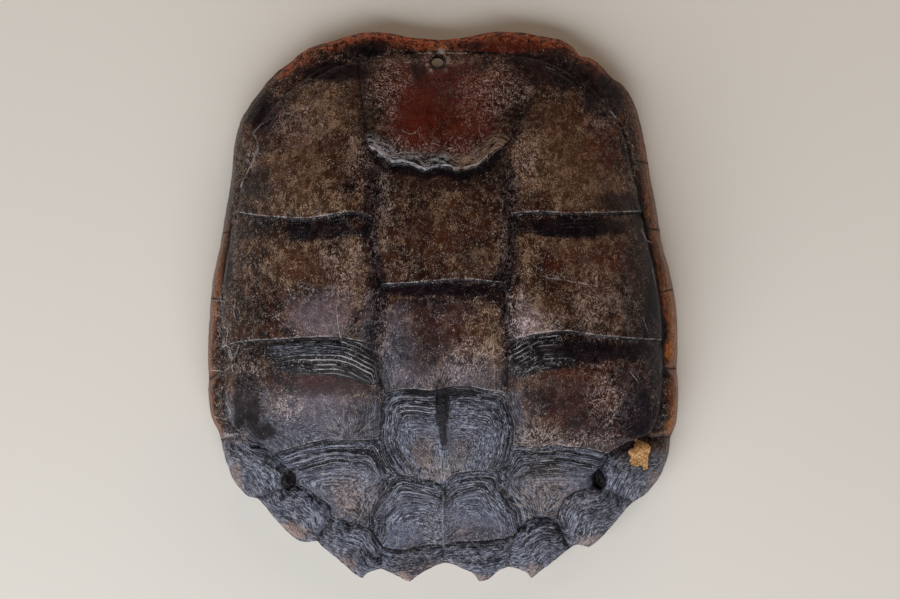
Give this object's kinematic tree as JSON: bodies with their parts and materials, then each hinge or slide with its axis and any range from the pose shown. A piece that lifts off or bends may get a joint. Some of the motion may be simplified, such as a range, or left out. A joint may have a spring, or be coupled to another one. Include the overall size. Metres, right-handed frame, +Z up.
{
  "type": "snapping turtle carapace",
  "caption": "Domed upper shell of a snapping turtle, hollow below, with scutes, a saw-toothed tail margin and a hanging hole near the neck.",
  "frame": {"origin": "middle of the bounding box, on the plane that the side margins rest on", "axes": "+Z up through the dome, +Y towards the head end, +X towards the animal's right side"},
  "size_m": [0.2918, 0.34, 0.0918],
  "materials": {
    "shell": "varnished dark brown horn with olive and red-brown mottling, bare bone inside"
  },
  "bodies": {
    "root": {"carapace": "shell"}
  },
  "joints": []
}
